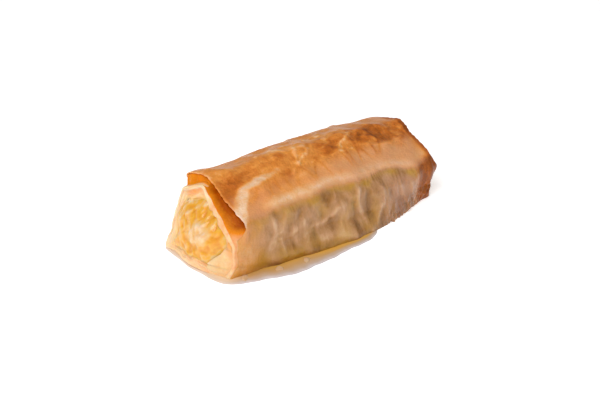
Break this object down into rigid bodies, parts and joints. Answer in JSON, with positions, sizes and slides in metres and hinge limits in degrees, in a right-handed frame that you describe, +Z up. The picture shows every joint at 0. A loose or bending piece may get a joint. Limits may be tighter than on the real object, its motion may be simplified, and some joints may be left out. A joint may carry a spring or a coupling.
{
  "type": "galaktoboureko roll",
  "caption": "Baked phyllo roll filled with semolina custard that shows at its open ends, lying in a little syrup. A serving of a Greek dessert.",
  "frame": {"origin": "on the surface that the roll rests on, under the roll's axis, at the middle of its outer sheet", "axes": "+X along the roll, away from the end that shows the custard. -Y faces the crinkled long side. +Z up."},
  "size_m": [0.1286, 0.0618, 0.0388],
  "materials": {
    "phyllo": "crisp baked sheets, buttered and glazed with syrup, soaked and translucent low on the front",
    "custard": "soft set semolina custard, moist",
    "syrup": "clear pale amber sugar syrup, wet"
  },
  "bodies": {
    "root": {"phyllo_wrap": "phyllo", "custard": "custard", "syrup_pool": "syrup"}
  },
  "joints": []
}
